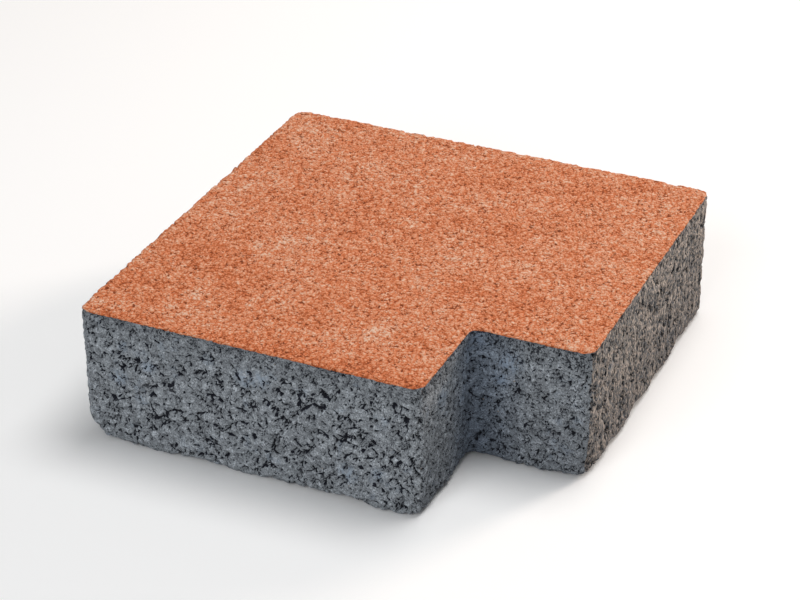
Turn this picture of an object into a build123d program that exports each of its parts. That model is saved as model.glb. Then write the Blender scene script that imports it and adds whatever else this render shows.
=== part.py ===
import os

from build123d import *

# Concrete paving stone, pressed as one piece: a square slab with a smaller square
# notch taken out of one corner. Sizes are in millimetres. The origin is the middle
# of the square on the bed face, +Z points up to the coloured wear face, and the
# notch is at the +X, -Y corner.

# Square that the stone is laid in, and the height of the stone
length = 200.0
width = 200.0
thickness = 60.0

# Corner notch, measured in from the right side and back from the front side
notch_length = 50.0
notch_width = 50.0

# Rounding of the upright corners, as seen from above
outer_corner_radius = 6.0
notch_root_radius = 3.0

# Arrises: nearly sharp round the wear face, rubbed down round the bed face
wear_arris_radius = 0.8
bed_arris_radius = 4.0

# Tip worn off the front left corner of the bed face: how far the worn flat reaches
# along the front side, back along the left side, and up the corner
worn_along_front = 12.0
worn_along_side = 12.0
worn_up_corner = 12.5

# Sides of the square and inner sides of the notch
left = -length / 2
right = length / 2
front = -width / 2
back = width / 2
notch_left = right - notch_length
notch_back = front + notch_width


def pressed_blank():
    """The stone as it leaves the mould, straight sided, with its arrises still sharp."""
    corner_radii = {
        (left, front): outer_corner_radius,
        (notch_left, front): outer_corner_radius,
        (notch_left, notch_back): notch_root_radius,
        (right, notch_back): outer_corner_radius,
        (right, back): outer_corner_radius,
        (left, back): outer_corner_radius,
    }
    outline = FilletPolyline(*corner_radii, radius=list(corner_radii.values()), close=True)
    return extrude(make_face(outline), thickness)


def worn_flat():
    """Plane across the front left corner of the bed face, facing down and outwards."""
    on_front = Vector(left + worn_along_front, front, 0)
    on_side = Vector(left, front + worn_along_side, 0)
    on_corner = Vector(left, front, worn_up_corner)
    return Plane(
        origin=on_corner,
        x_dir=on_front - on_corner,
        z_dir=(on_side - on_corner).cross(on_front - on_corner),
    )


def arrises_of(*faces):
    """All edges of the faces, each of them once."""
    return ShapeList({edge for face in faces for edge in face.edges()})


stone = split(pressed_blank(), bisect_by=worn_flat(), keep=Keep.BOTTOM)

bed_face, *_ = stone.faces().sort_by(Axis.Z)
worn_face, = stone.faces().filter_by(lambda face: face.normal_at().dot(worn_flat().z_dir) > 0.999)
stone = fillet(arrises_of(bed_face, worn_face), bed_arris_radius)

*_, wear_face = stone.faces().sort_by(Axis.Z)
stone = fillet(arrises_of(wear_face), wear_arris_radius)

stone.label = "paving_stone"
os.makedirs("parts", exist_ok=True)
export_step(stone, "parts/paving_stone.step")
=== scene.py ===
"""Concrete paving stone: a rough grey pressed body with a terracotta wear face on top."""

import math

import bpy
import numpy as np
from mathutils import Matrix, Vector


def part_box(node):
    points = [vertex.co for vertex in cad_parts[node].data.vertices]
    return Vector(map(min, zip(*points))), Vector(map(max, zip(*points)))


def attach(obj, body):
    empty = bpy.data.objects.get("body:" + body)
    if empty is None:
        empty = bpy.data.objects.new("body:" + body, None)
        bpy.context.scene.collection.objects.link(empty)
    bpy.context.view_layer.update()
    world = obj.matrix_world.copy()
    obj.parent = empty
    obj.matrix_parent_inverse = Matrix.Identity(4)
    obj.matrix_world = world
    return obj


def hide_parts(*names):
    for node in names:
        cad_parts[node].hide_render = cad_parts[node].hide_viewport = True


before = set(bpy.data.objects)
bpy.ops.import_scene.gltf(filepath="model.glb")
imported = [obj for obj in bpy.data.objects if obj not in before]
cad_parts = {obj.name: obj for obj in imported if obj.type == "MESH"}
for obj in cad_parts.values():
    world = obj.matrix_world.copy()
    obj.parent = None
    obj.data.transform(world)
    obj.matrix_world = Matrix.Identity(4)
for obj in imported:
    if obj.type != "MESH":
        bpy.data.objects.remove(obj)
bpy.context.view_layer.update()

# Sizes in millimetres where a name says so, and metres elsewhere
MM = 0.001
low, high = (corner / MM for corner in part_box("paving_stone"))
notch_left_mm = 50.0
notch_back_mm = -50.0

# Mesh of the stone: grid that the relief is cut into, and the triangles it is thinned to
grid_mm = 0.6
triangle_limit = 190_000
map_gap_mm = 4.0

# A place this near to the plane of a side counts as on that side
face_margin_mm = 0.9

# Pressed concrete of the sides: grains and the clods between seams, in mm across
clod_mm = 3.6
lump_mm = 1.9
crumb_mm = 0.95
packed_grain_mm = 1.35
seam_spacing_mm = 5.0

# Relief of the sides, in mm deep
pit_depth_mm = 1.5
small_pit_depth_mm = 0.4
crack_depth_mm = 0.9
crevice_depth_mm = 0.7
swell_depth_mm = 0.35
grain_depth_mm = 0.25

# Wear face: mounds, the grit between them and the spacing of its cracks, in mm across
mound_mm = 1.9
grit_mm = 0.9
wear_seam_spacing_mm = 2.2

# Relief of the wear face and of its arris, in mm deep
gap_depth_mm = 0.36
wear_swell_depth_mm = 0.18
wear_pit_depth_mm = 0.3
chip_depth_mm = 0.75

# Knocked places of the bed arris: middle in mm, reach in mm, depth in mm
knocks = [
    ((100.0, -50.0, 0.0), 22.0, 2.2),
    ((50.0, -100.0, 0.0), 13.0, 1.5),
    ((33.0, -100.0, 0.0), 10.0, -0.5),
    ((-5.0, -100.0, 0.0), 40.0, 0.5),
    ((100.0, -22.0, 0.0), 9.0, 1.0),
    ((100.0, 8.0, 0.0), 8.0, 1.3),
    ((100.0, 33.0, 0.0), 11.0, 1.0),
    ((100.0, 68.0, 0.0), 9.0, 1.4),
]

# Open gouges of the front side: x, z, half length and half height in mm, tilt in degrees
front_gouges = [
    (0.8, 39.0, 3.6, 0.9, 40),
    (6.0, 41.2, 2.6, 1.1, -8),
    (4.2, 36.0, 0.6, 1.6, 0),
    (16.4, 29.6, 2.8, 0.8, -36),
    (20.8, 27.6, 2.8, 0.7, -10),
    (8.6, 29.2, 2.8, 0.8, -38),
    (38.4, 50.3, 1.4, 1.2, 0),
    (42.6, 49.9, 2.4, 0.7, -6),
    (0.4, 18.8, 1.5, 1.1, 0),
    (-2.4, 21.2, 2.2, 0.6, -35),
    (-11.9, 32.6, 0.8, 1.2, 0),
    (-8.4, 31.7, 0.9, 1.6, 30),
    (-16.6, 28.0, 0.6, 1.9, 0),
    (-9.7, 42.7, 1.2, 1.0, 0),
    (33.4, 9.8, 0.9, 1.5, 0),
    (42.7, 4.5, 1.4, 1.0, 0),
    (-27.5, 30.9, 2.8, 0.9, -12),
    (-32.0, 17.7, 2.8, 0.8, -8),
    (-27.3, 17.0, 0.9, 1.3, 0),
    (-22.0, 19.6, 1.1, 1.4, 0),
    (-53.7, 40.1, 2.0, 0.6, 10),
    (-66.2, 31.4, 1.8, 0.6, 10),
    (-85.1, 21.4, 0.8, 1.9, -20),
    (-46.5, 4.6, 1.6, 0.8, 30),
    (-80.4, 42.3, 2.6, 0.5, -15),
]

# Pale mineral bloom on the sides: middle and reach in mm
blooms = [
    ((-81.9, -100.0, 31.8), 6.0),
    ((-68.7, -100.0, 40.4), 5.0),
    ((-79.8, -100.0, 46.9), 3.5),
    ((-71.7, -100.0, 23.9), 3.5),
    ((-25.0, -100.0, 46.0), 7.0),
    ((-18.0, -100.0, 47.0), 6.0),
    ((18.2, -100.0, 14.0), 6.5),
    ((31.6, -100.0, 16.6), 4.5),
    ((65.4, -50.0, 47.7), 8.0),
    ((62.0, -50.0, 40.0), 6.0),
    ((50.0, -78.0, 44.0), 8.0),
]

# Pale patches of the wear face: middle and reach in mm
pale_patches = [
    ((-57.8, -22.3, 60.0), 6.0),
    ((-85.0, 22.0, 60.0), 5.0),
    ((17.0, -70.0, 60.0), 10.0),
    ((-62.0, -70.0, 60.0), 7.0),
]

# Colours as sRGB, 0 to 255. A ramp's stops give a tone and the colour it has there
body_stops = [
    (0.32, (84, 88, 94)),
    (0.43, (129, 134, 139)),
    (0.57, (152, 158, 164)),
    (0.70, (204, 211, 219)),
]
wear_stops = [
    (0.28, (160, 80, 42)),
    (0.38, (194, 103, 60)),
    (0.50, (209, 128, 87)),
    (0.62, (214, 149, 115)),
    (0.76, (222, 186, 162)),
]
bloom_colour = (166, 180, 196)
rust_colour = (158, 122, 78)
# Painted shade in the pits of the wear face
wear_hole_shade_colour = (104, 48, 25)
floor_colour = (200, 200, 200)

# Tints that a colour is multiplied by
# Painted warm light on the right side
warm_light_tint = (1.08, 0.85, 0.68, 1.0)
# Painted shade in the notch's inner corner
notch_root_shade_tint = (0.42, 0.53, 0.70, 1.0)
# Painted shade low on the notch and right sides
low_shade_tint = (0.40, 0.42, 0.46, 1.0)
# Painted shade in the holes of the sides
hole_shade_tint = (0.035, 0.037, 0.055, 1.0)
white = (1.0, 1.0, 1.0, 1.0)

# View of the photograph
view_azimuth = 24.07
view_elevation = 30.28
view_distance = 0.9927
view_target = Vector((-0.0061, 0.0056, 0.030))
view_lens = 105.4


class Graph:
    """Adds nodes to one node tree. Shapes and colours share the textures made here."""

    def __init__(self, tree):
        self.tree = tree

    def feed(self, socket, value):
        if isinstance(value, bpy.types.NodeSocket):
            self.tree.links.new(value, socket)
        else:
            socket.default_value = value

    def add(self, kind, inputs=(), **settings):
        node = self.tree.nodes.new(kind)
        for name, value in settings.items():
            setattr(node, name, value)
        for name, value in dict(inputs).items():
            self.feed(node.inputs[name], value)
        return node

    def math(self, operation, *values, clamp=False):
        inputs = dict(enumerate(values))
        return self.add("ShaderNodeMath", inputs, operation=operation, use_clamp=clamp).outputs[0]

    def total(self, first, *rest):
        for value in rest:
            first = self.math("ADD", first, value)
        return first

    def times(self, first, *rest):
        for value in rest:
            first = self.math("MULTIPLY", first, value)
        return first

    def either(self, first, *rest):
        for value in rest:
            first = self.math("MAXIMUM", first, value)
        return first

    def invert(self, value):
        return self.math("SUBTRACT", 1.0, value, clamp=True)

    def vector(self, operation, *values):
        inputs = dict(enumerate(values))
        return self.add("ShaderNodeVectorMath", inputs, operation=operation).outputs[0]

    def scaled(self, vector, factor):
        node = self.add("ShaderNodeVectorMath", {0: vector, "Scale": factor}, operation="SCALE")
        return node.outputs[0]

    def length(self, vector):
        node = self.add("ShaderNodeVectorMath", {0: vector}, operation="LENGTH")
        return node.outputs["Value"]

    def distance(self, first, second):
        node = self.add("ShaderNodeVectorMath", {0: first, 1: second}, operation="DISTANCE")
        return node.outputs["Value"]

    def parts(self, vector):
        return self.add("ShaderNodeSeparateXYZ", {0: vector}).outputs

    def step(self, value, start, end, out_start=0.0, out_end=1.0):
        """Smooth rise, or fall, from out_start to out_end as value goes from start to end."""
        inputs = {0: value, 1: start, 2: end, 3: out_start, 4: out_end}
        return self.add("ShaderNodeMapRange", inputs, interpolation_type="SMOOTHSTEP").outputs[0]

    def noise_node(self, place, size_mm, detail, roughness, distortion):
        inputs = {"Vector": place, "Scale": 1 / size_mm, "Detail": detail}
        inputs.update({"Roughness": roughness, "Distortion": distortion})
        return self.add("ShaderNodeTexNoise", inputs)

    def noise(self, place, size_mm, detail=1.0, roughness=0.5, distortion=0.0):
        return self.noise_node(place, size_mm, detail, roughness, distortion).outputs[0]

    def warped(self, place, size_mm, reach_mm, detail=1.0):
        """The place, pushed about by up to about reach_mm."""
        colour = self.noise_node(place, size_mm, detail, 0.5, 0.0).outputs[1]
        push = self.vector("SUBTRACT", colour, (0.5, 0.5, 0.5))
        return self.vector("ADD", place, self.scaled(push, 2.0 * reach_mm))

    def cells(self, place, size_mm, feature, **settings):
        inputs = {"Vector": place, "Scale": 1 / size_mm, "Randomness": 1.0}
        return self.add("ShaderNodeTexVoronoi", inputs, feature=feature, **settings)

    def seam_distance_mm(self, place, size_mm):
        """Distance to the nearest border between clods of about that size."""
        distance = self.cells(place, size_mm, "DISTANCE_TO_EDGE").outputs["Distance"]
        return self.times(distance, size_mm)

    def grain_distance(self, place, size_mm):
        """Distance to the middle of the nearest grain, in sizes of the grain."""
        return self.cells(place, size_mm, "F1").outputs["Distance"]

    def least(self, first, *rest):
        for value in rest:
            first = self.math("MINIMUM", first, value)
        return first

    def spots(self, place, size_mm, radius_mm, share):
        """Round spots in a share of the cells: 1 in the middle, 0 from radius_mm outwards."""
        node = self.cells(place, size_mm, "F1")
        near = self.step(self.times(node.outputs["Distance"], size_mm), 0.0, radius_mm, 1.0, 0.0)
        chosen = self.parts(node.outputs["Color"])[0]
        return self.times(near, self.math("LESS_THAN", chosen, share))


def on_right_side(graph, place):
    """1 on the right side, 0 elsewhere."""
    return graph.math("GREATER_THAN", graph.parts(place)[0], high.x - face_margin_mm)


def in_notch(graph, place):
    """1 on the two faces of the notch, 0 elsewhere."""
    x, y, _ = graph.parts(place)
    return graph.times(
        graph.math("GREATER_THAN", x, notch_left_mm - face_margin_mm),
        graph.math("LESS_THAN", y, notch_back_mm + face_margin_mm),
    )


def dragged_place(graph, place):
    """The place, squeezed in height on the right side, so that textures there run upright."""
    height = graph.parts(place)[2]
    squeeze = graph.times(height, on_right_side(graph, place), -0.5)
    return graph.vector("ADD", place, graph.scaled((0.0, 0.0, 1.0), squeeze))


def body_relief(graph, place):
    """Rough pressed concrete: depth in mm below the mould's face, how much of a crevice
    between clods and how much of a hole the place is, from 0 to 1."""
    height = graph.parts(place)[2]
    right_side = on_right_side(graph, place)
    notch = in_notch(graph, place)
    fine = graph.step(height, high.z - 2.0, high.z - 13.0, 1.0, 0.0)
    zone = graph.noise(place, 13.0, detail=2.0)
    bent = graph.warped(dragged_place(graph, place), 1.3, 0.5, detail=2.0)

    seam = graph.seam_distance_mm(bent, seam_spacing_mm)
    beside_seam = graph.step(seam, 0.1, 1.8, 1.0, 0.0)
    openness = graph.total(
        graph.times(zone, 0.21),
        graph.times(fine, -0.06),
        graph.times(graph.either(notch, right_side), -0.03),
        graph.times(beside_seam, 0.07),
        -0.122,
    )
    clod = graph.grain_distance(bent, clod_mm)
    lump = graph.grain_distance(bent, lump_mm)
    crumb = graph.grain_distance(bent, crumb_mm)
    void = graph.total(graph.least(clod, lump, graph.total(crumb, 0.07)), openness)
    wide_pits = graph.step(void, 0.575, 0.635)

    packed = graph.least(graph.grain_distance(bent, packed_grain_mm), crumb)
    speckled = graph.total(
        graph.times(openness, 0.6),
        graph.times(fine, 0.105),
        graph.times(notch, 0.07),
        graph.times(right_side, 0.10),
    )
    small_pits = graph.step(graph.total(packed, speckled), 0.61, 0.70)

    opening = graph.total(graph.noise(place, 2.4, detail=1.0), openness, graph.times(seam, -0.33))
    closed = graph.total(graph.times(fine, -0.04), graph.times(notch, -0.02))
    cracks = graph.step(graph.total(opening, closed), 0.562, 0.607)

    gouge = front_gouge(graph, bent)
    hole = graph.either(wide_pits, graph.times(small_pits, 0.85), cracks, gouge)
    swell = graph.times(graph.noise(place, 9.0, detail=1.0), swell_depth_mm)
    crevice = graph.total(
        graph.step(seam, 0.0, 1.5, 0.6, 0.0),
        graph.step(graph.least(clod, lump), 0.30, 0.75, 0.0, 0.4),
    )
    grain = graph.times(graph.noise(place, 1.3, detail=2.0), grain_depth_mm)
    depth = graph.total(
        graph.times(graph.either(wide_pits, gouge), pit_depth_mm),
        graph.times(small_pits, small_pit_depth_mm),
        graph.times(cracks, crack_depth_mm),
        graph.times(crevice, crevice_depth_mm),
        swell,
        grain,
    )
    return depth, crevice, hole


def front_gouge(graph, place):
    """The listed gouges of the front side: 1 inside them, 0 outside."""
    half_depth = 6.0
    deepest = 0.0
    for x, z, half_length, half_height, tilt in front_gouges:
        middle = (x, low.y, z)
        turn = {"Center": middle, "Axis": (0.0, 1.0, 0.0), "Angle": math.radians(tilt)}
        level = graph.add(
            "ShaderNodeVectorRotate", {"Vector": place, **turn}, rotation_type="AXIS_ANGLE"
        ).outputs[0]
        offset = graph.vector("SUBTRACT", level, middle)
        reach = graph.vector("DIVIDE", offset, (half_length, half_depth, half_height))
        deepest = graph.either(deepest, graph.step(graph.length(reach), 0.75, 1.1, 1.0, 0.0))
    return deepest


def patches(graph, place, marks):
    """Soft patches at the given places: 1 in the middle of one, 0 outside."""
    strongest = 0.0
    for middle, reach in marks:
        away = graph.distance(place, middle)
        strongest = graph.either(strongest, graph.step(away, 0.0, reach, 1.0, 0.0))
    return strongest


def wear_relief(graph, place):
    """Close pressed wear face: depth in mm below the mould's face, and how much of a hole
    the place is, from 0 to 1."""
    bent = graph.warped(place, 1.0, 0.3)
    mound = graph.grain_distance(bent, mound_mm)
    grit = graph.grain_distance(bent, grit_mm)
    gap = graph.step(graph.least(mound, grit), 0.15, 0.65, 0.0, gap_depth_mm)
    openness = graph.times(graph.noise(place, 5.0), 0.2)
    void = graph.total(graph.least(mound, graph.total(grit, 0.02)), openness)
    seam = graph.seam_distance_mm(bent, wear_seam_spacing_mm)
    opening = graph.total(graph.noise(place, 1.8), graph.times(seam, -0.45))
    pits = graph.either(graph.step(void, 0.74, 0.84), graph.step(opening, 0.59, 0.66))
    swell = graph.times(graph.noise(place, 6.0), wear_swell_depth_mm)
    depth = graph.total(gap, swell, graph.times(pits, wear_pit_depth_mm))
    return depth, pits


def inset_mm(graph, place):
    """Distance in from the nearest side of the stone, as seen from above."""
    x, y, _ = graph.parts(place)
    from_sides = graph.least(
        graph.math("SUBTRACT", high.x, graph.math("ABSOLUTE", x)),
        graph.math("SUBTRACT", high.y, graph.math("ABSOLUTE", y)),
    )
    from_notch = graph.either(
        graph.math("SUBTRACT", notch_left_mm, x),
        graph.math("SUBTRACT", y, notch_back_mm),
    )
    return graph.least(from_sides, from_notch)


def arris_wear(graph, place):
    """Knocks and waves of the bed arris, and small chips of the wear arris, in mm inwards."""
    height = graph.parts(place)[2]
    rim = graph.step(inset_mm(graph, place), 2.0, 8.0, 1.0, 0.0)
    low_rim = graph.times(rim, graph.step(height, 0.0, 8.0, 1.0, 0.0))
    waves = graph.step(graph.noise(place, 22.0, detail=3.0, roughness=0.5), 0.34, 0.68, -0.9, 0.7)
    wear = graph.times(low_rim, waves)
    for spot, radius, depth in knocks:
        away = graph.distance(place, spot)
        wear = graph.total(wear, graph.step(away, 0.0, radius, depth, 0.0))
    top_rim = graph.times(
        graph.step(inset_mm(graph, place), 0.6, 2.0, 1.0, 0.0),
        graph.step(height, high.z - 2.2, high.z - 0.8),
    )
    raggedness = graph.total(
        graph.times(graph.noise(place, 3.2, detail=2.0), 0.55),
        graph.times(graph.noise(place, 9.0, detail=1.0), 0.45),
    )
    chips = graph.step(raggedness, 0.50, 0.62, 0.0, chip_depth_mm)
    return graph.total(wear, graph.times(top_rim, chips))


def is_wear_face(graph, place):
    """1 on the coloured face, 0 on the sides and the bed face."""
    height = graph.parts(place)[2]
    ragged = graph.total(height, graph.times(graph.noise(place, 2.0), 0.2))
    return graph.step(ragged, high.z - 0.25, high.z - 0.15)


def base_mesh():
    """Even, closed grid over the CAD stone, which keeps each point's own place as 'rest'."""
    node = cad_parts["paving_stone"]
    piece = bpy.data.objects.new("pressed_stone", node.data.copy())
    bpy.context.scene.collection.objects.link(piece)
    grid = piece.modifiers.new("grid", "REMESH")
    grid.mode = "VOXEL"
    grid.voxel_size = grid_mm * MM
    fit = piece.modifiers.new("fit", "SHRINKWRAP")
    fit.target = node
    fit.wrap_method = "NEAREST_SURFACEPOINT"
    bake(piece)
    places = points(piece.data)
    rest = piece.data.attributes.new("rest", "FLOAT_VECTOR", "POINT")
    rest.data.foreach_set("vector", (places / MM).astype(np.float32).ravel())
    return piece


def bake(piece):
    """Makes the piece's modifiers part of its mesh."""
    shaped = piece.evaluated_get(bpy.context.evaluated_depsgraph_get())
    mesh = bpy.data.meshes.new_from_object(shaped)
    piece.modifiers.clear()
    piece.data = mesh


def points(mesh):
    """The mesh's points as an array of places, in metres."""
    flat = np.empty(len(mesh.vertices) * 3, np.float32)
    mesh.vertices.foreach_get("co", flat)
    return flat.reshape(-1, 3)


def relief_modifier(piece):
    """Pushes each point of the grid inwards by the relief of the face that it is on."""
    tree = bpy.data.node_groups.new("relief", "GeometryNodeTree")
    tree.interface.new_socket("Geometry", in_out="INPUT", socket_type="NodeSocketGeometry")
    tree.interface.new_socket("Geometry", in_out="OUTPUT", socket_type="NodeSocketGeometry")
    graph = Graph(tree)
    source = graph.add("NodeGroupInput").outputs[0]
    place_node = graph.add("GeometryNodeInputNamedAttribute", data_type="FLOAT_VECTOR")
    place_node.inputs["Name"].default_value = "rest"
    place = place_node.outputs[0]
    wear = is_wear_face(graph, place)
    body_depth, _, _ = body_relief(graph, place)
    wear_depth, _ = wear_relief(graph, place)
    depth = graph.total(
        graph.times(body_depth, graph.invert(wear)),
        graph.times(wear_depth, wear),
        arris_wear(graph, place),
    )
    normal = graph.add("GeometryNodeInputNormal").outputs[0]
    offset = graph.scaled(normal, graph.times(depth, -MM))
    moved = graph.add("GeometryNodeSetPosition", {"Geometry": source, "Offset": offset})
    graph.add("NodeGroupOutput", {0: moved.outputs[0]})
    piece.modifiers.new("relief", "NODES").node_group = tree


def thinned(piece):
    """Fewer triangles where the surface is calm, up to the limit in all."""
    triangles = 2 * len(piece.data.polygons)
    thin = piece.modifiers.new("thin", "DECIMATE")
    thin.ratio = min(1.0, triangle_limit / triangles)
    thin.use_collapse_triangulate = True
    bake(piece)
    inside = np.clip(points(piece.data), low * MM, high * MM)
    piece.data.vertices.foreach_set("co", inside.astype(np.float32).ravel())


def bake_map(piece):
    """Flat map of the stone at one scale: wear face and bed face below, the four sides above."""
    mesh = piece.data
    rest = np.empty(len(mesh.vertices) * 3, np.float32)
    mesh.attributes["rest"].data.foreach_get("vector", rest)
    vertices = np.empty(len(mesh.loops), np.int32)
    mesh.loops.foreach_get("vertex_index", vertices)
    corners = rest.reshape(-1, 3)[vertices].reshape(-1, 3, 3)
    normals = np.cross(corners[:, 1] - corners[:, 0], corners[:, 2] - corners[:, 0])
    facing = np.argmax(np.abs(normals), axis=1)
    outwards = normals[np.arange(len(normals)), facing] > 0

    length, width, height = high - low
    column = length + map_gap_mm
    side_row = width + map_gap_mm
    next_row = side_row + height + map_gap_mm
    x_axis, y_axis, z_axis = range(3)
    islands = [
        (z_axis, True, x_axis, y_axis, 0.0, 0.0),
        (z_axis, False, x_axis, y_axis, column, 0.0),
        (y_axis, False, x_axis, z_axis, 0.0, side_row),
        (y_axis, True, x_axis, z_axis, column, side_row),
        (x_axis, True, y_axis, z_axis, 0.0, next_row),
        (x_axis, False, y_axis, z_axis, column, next_row),
    ]
    flat = np.zeros((len(corners), 3, 2), np.float32)
    for axis, positive, across, up, left, bottom in islands:
        chosen = (facing == axis) & (outwards == positive)
        flat[chosen, :, 0] = corners[chosen][:, :, across] - low[across] + left
        flat[chosen, :, 1] = corners[chosen][:, :, up] - low[up] + bottom
    margin = map_gap_mm / 2
    sheet = column + length + map_gap_mm
    layer = mesh.uv_layers.new(name="OFBake")
    layer.uv.foreach_set("vector", ((flat + margin) / sheet).ravel())


def stone_material():
    """Grey body and terracotta wear face, painted by the same relief that shapes them."""
    material = bpy.data.materials.new("concrete")
    material.use_nodes = True
    tree = material.node_tree
    tree.nodes.clear()
    graph = Graph(tree)
    place = graph.add("ShaderNodeAttribute", attribute_name="rest").outputs["Vector"]
    wear = is_wear_face(graph, place)
    _, crevice, body_hole = body_relief(graph, place)
    wear_depth, wear_hole = wear_relief(graph, place)

    body_colour = body_paint(graph, place, crevice, body_hole)
    wear_colour = wear_paint(graph, place, wear_depth, wear_hole)
    colour = mixed(graph, wear, body_colour, wear_colour)

    body_bump = graph.times(graph.noise(place, 0.8, detail=3.0, roughness=0.65), 0.7)
    wear_bump = graph.times(wear_depth, -1.0)
    height = graph.total(
        graph.times(body_bump, graph.invert(wear)),
        graph.times(wear_bump, wear),
    )
    bump = graph.add("ShaderNodeBump", {"Strength": 0.8, "Distance": MM, "Height": height})
    rough = graph.step(graph.noise(place, 2.0, detail=2.0), 0.3, 0.7, 0.82, 0.97)
    shader = graph.add("ShaderNodeBsdfPrincipled")
    graph.feed(shader.inputs["Base Color"], colour)
    graph.feed(shader.inputs["Roughness"], rough)
    graph.feed(shader.inputs["Normal"], bump.outputs[0])
    shader.inputs["Specular IOR Level"].default_value = 0.25
    graph.add("ShaderNodeOutputMaterial", {"Surface": shader.outputs[0]})
    return material


def srgb(red, green, blue):
    """Linear colour of an sRGB colour written as 0 to 255."""
    def linear(value):
        value /= 255
        return value / 12.92 if value <= 0.04045 else ((value + 0.055) / 1.055) ** 2.4

    return (linear(red), linear(green), linear(blue), 1.0)


def mixed(graph, share, first, second, blend="MIX"):
    """The first colour, with a share of the second one laid over it."""
    node = graph.add("ShaderNodeMix", data_type="RGBA", blend_type=blend)
    graph.feed(node.inputs["Factor"], share)
    graph.feed(node.inputs[6], first)
    graph.feed(node.inputs[7], second)
    return node.outputs[2]


def tinted(graph, share, colour, tint):
    """The colour, with a share of it multiplied by the tint."""
    return mixed(graph, share, colour, mixed(graph, 1.0, colour, tint, "MULTIPLY"))


def ramp(graph, value, stops):
    """Colour that the stops give to the value."""
    node = graph.add("ShaderNodeValToRGB", {0: value})
    elements = node.color_ramp.elements
    while len(elements) > 1:
        elements.remove(elements[-1])
    for index, (position, colour) in enumerate(stops):
        element = elements[0] if index == 0 else elements.new(position)
        element.position = position
        element.color = srgb(*colour)
    return node.outputs[0]


def body_paint(graph, place, crevice, hole):
    """Colour of the grey concrete, with its bloom and rust, painted warm light on the right side,
    and painted shade in the crevices, in the notch's corner, low on the notch and right sides and
    in the holes.
    """
    x, _, height = graph.parts(place)
    right_side = on_right_side(graph, place)
    along = dragged_place(graph, place)
    tone = graph.total(
        graph.times(graph.noise(along, 0.6, detail=2.0, roughness=0.7), 0.85),
        graph.times(graph.noise(along, 3.0, detail=3.0, roughness=0.6), 0.40),
        -0.125,
    )
    streak = graph.times(graph.total(graph.noise(along, 0.9, detail=2.0), -0.5), right_side, 1.15)
    near_top = graph.step(height, high.z - 11.0, high.z - 1.0, 0.0, -0.09)
    under_face = graph.times(near_top, graph.invert(right_side))
    # Painted shade: the tone is lower along the crevices between clods
    tone = graph.total(tone, streak, under_face, graph.times(crevice, -0.12), 0.06)
    colour = ramp(graph, tone, body_stops)

    broken = graph.step(graph.noise(place, 1.6, detail=3.0, roughness=0.7), 0.38, 0.58)
    placed_bloom = graph.times(patches(graph, place, blooms), 1.2)
    bloom = graph.either(
        graph.step(graph.noise(place, 8.0, detail=3.0, roughness=0.6), 0.58, 0.70, 0.0, 0.4),
        graph.math("MULTIPLY", placed_bloom, broken, clamp=True),
    )
    colour = mixed(graph, graph.times(bloom, 0.75), colour, srgb(*bloom_colour))

    # Painted warm light: the lighter grains of the right side are tinted warm, the more so the
    # lighter they are
    right_side_warm_light = graph.times(right_side, graph.step(tone, 0.38, 0.56, 0.25, 1.0))
    colour = tinted(graph, right_side_warm_light, colour, warm_light_tint)

    # Painted shade in the notch's inner corner: darker and bluish within 28 mm of the root
    from_root = graph.vector("SUBTRACT", place, (notch_left_mm, notch_back_mm, 0.0))
    away = graph.length(graph.vector("MULTIPLY", from_root, (1.0, 1.0, 0.0)))
    colour = tinted(graph, graph.step(away, 1.0, 28.0, 0.6, 0.0), colour, notch_root_shade_tint)

    # Painted shade: on the sides past x = 49 mm, which take in the notch and the right side,
    # darker towards the bottom
    past_front_side = graph.math("GREATER_THAN", x, notch_left_mm - face_margin_mm)
    low_shade = graph.times(past_front_side, graph.step(height, 52.0, 0.0, 0.0, 0.45))
    colour = tinted(graph, low_shade, colour, low_shade_tint)

    rust = graph.spots(place, 6.0, 0.5, 0.25)
    colour = mixed(graph, graph.times(rust, 0.8), colour, srgb(*rust_colour))
    # Painted shade: pits, cracks and gouges are darkened almost to black
    return tinted(graph, hole, colour, hole_shade_tint)


def wear_paint(graph, place, depth, hole):
    """Colour of the terracotta face: pale on its mounds, with painted shade in its gaps and holes
    and towards its front edge.
    """
    y = graph.parts(place)[1]
    broken = graph.noise(place, 2.5, detail=3.0, roughness=0.7)
    tone = graph.total(
        graph.times(graph.noise(place, 0.8, detail=2.0, roughness=0.6), 0.55),
        graph.times(graph.noise(place, 4.0, detail=3.0, roughness=0.6), 0.50),
        graph.times(graph.noise(place, 24.0, detail=2.0), 0.26),
        graph.times(graph.noise(place, 9.0, detail=1.0), 0.16),
        # Painted shade: the deeper the relief, the darker
        graph.times(depth, -0.8),
        graph.times(patches(graph, place, pale_patches), broken, 0.22),
        # Painted shade: darker over the last 10 mm towards the front edge
        graph.step(y, -90.0, -96.0, 0.0, -0.06),
    )
    colour = ramp(graph, tone, wear_stops)
    # Painted shade: the pits are dark brown
    return mixed(graph, graph.times(hole, 0.72), colour, srgb(*wear_hole_shade_colour))


def stone():
    """The dressed stone, which stands for the CAD one in the picture."""
    piece = base_mesh()
    relief_modifier(piece)
    bake(piece)
    thinned(piece)
    for polygon in piece.data.polygons:
        polygon.use_smooth = True
    bake_map(piece)
    piece.data.materials.clear()
    piece.data.materials.append(stone_material())
    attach(piece, "root")
    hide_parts("paving_stone")
    return piece


def seen_directly(graph):
    """1 where the eye sees the surface itself, 0 where it only lights others."""
    rays = graph.add("ShaderNodeLightPath").outputs
    return graph.either(rays["Is Camera Ray"], rays["Is Glossy Ray"], rays["Is Transmission Ray"])


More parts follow.
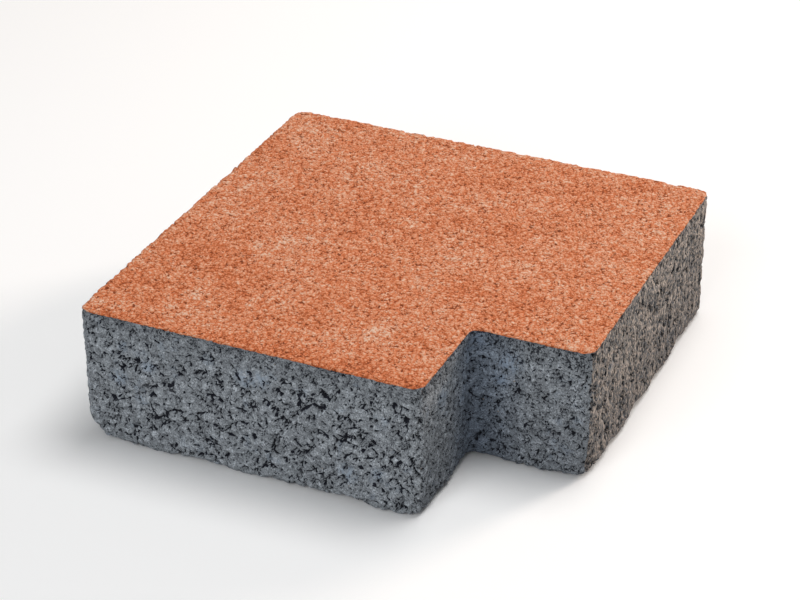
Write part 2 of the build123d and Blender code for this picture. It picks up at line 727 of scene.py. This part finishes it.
def floor():
    """White to the eye, but grey to the light that it throws back on the stone."""
    half = 3.0
    mesh = bpy.data.meshes.new("floor")
    corners = [(-half, -half, 0), (half, -half, 0), (half, half, 0), (-half, half, 0)]
    mesh.from_pydata(corners, [], [(0, 1, 2, 3)])
    plane = bpy.data.objects.new("floor", mesh)
    bpy.context.scene.collection.objects.link(plane)
    material = bpy.data.materials.new("pale_floor")
    material.use_nodes = True
    graph = Graph(material.node_tree)
    shader = material.node_tree.nodes["Principled BSDF"]
    colour = mixed(graph, seen_directly(graph), srgb(*floor_colour), white)
    graph.feed(shader.inputs["Base Color"], colour)
    shader.inputs["Roughness"].default_value = 1.0
    shader.inputs["Specular IOR Level"].default_value = 0.0
    mesh.materials.append(material)


def direction(azimuth, elevation):
    """From the stone out to those angles in degrees, where 0 and 0 is straight in front."""
    turn = math.radians(azimuth)
    rise = math.radians(elevation)
    level = math.cos(rise)
    return Vector((math.sin(turn) * level, -math.cos(turn) * level, math.sin(rise)))


def facing_back(outwards):
    """Rotation of a lamp or camera that looks back along the direction."""
    return (-outwards).to_track_quat("-Z", "Y").to_euler()


def area_light(name, azimuth, elevation, distance, size, power, colour):
    """Round soft lamp that is aimed at the stone."""
    data = bpy.data.lights.new(name, "AREA")
    data.shape = "DISK"
    data.size = size
    data.energy = power
    data.color = colour
    lamp = bpy.data.objects.new(name, data)
    outwards = direction(azimuth, elevation)
    lamp.location = outwards * distance
    lamp.rotation_euler = facing_back(outwards)
    bpy.context.scene.collection.objects.link(lamp)


def studio():
    """Three soft lamps, and a world that is white to the eye and dim as a light."""
    area_light("key", 140, 74, distance=1.6, size=0.9, power=13, colour=(1.0, 0.99, 0.98))
    area_light("fill", -5, 32, distance=2.0, size=1.2, power=14, colour=(0.96, 0.98, 1.0))
    area_light("side", 148, 20, distance=1.8, size=0.5, power=18.5, colour=(1.0, 0.87, 0.77))
    world = bpy.data.worlds.new("studio")
    bpy.context.scene.world = world
    world.use_nodes = True
    graph = Graph(world.node_tree)
    background = world.node_tree.nodes["Background"]
    dim, to_full = 0.24, 0.76
    strength = graph.total(graph.times(seen_directly(graph), to_full), dim)
    graph.feed(background.inputs["Strength"], strength)
    background.inputs["Color"].default_value = white


def camera():
    """The photograph's view of the stone."""
    data = bpy.data.cameras.new("camera")
    data.lens = view_lens
    data.clip_start = 0.05
    data.clip_end = 50.0
    eye = bpy.data.objects.new("camera", data)
    outwards = direction(view_azimuth, view_elevation)
    eye.location = view_target + outwards * view_distance
    eye.rotation_euler = facing_back(outwards)
    bpy.context.scene.collection.objects.link(eye)
    bpy.context.scene.camera = eye


stone()
floor()
studio()
camera()
bpy.context.scene.view_settings.view_transform = "Standard"
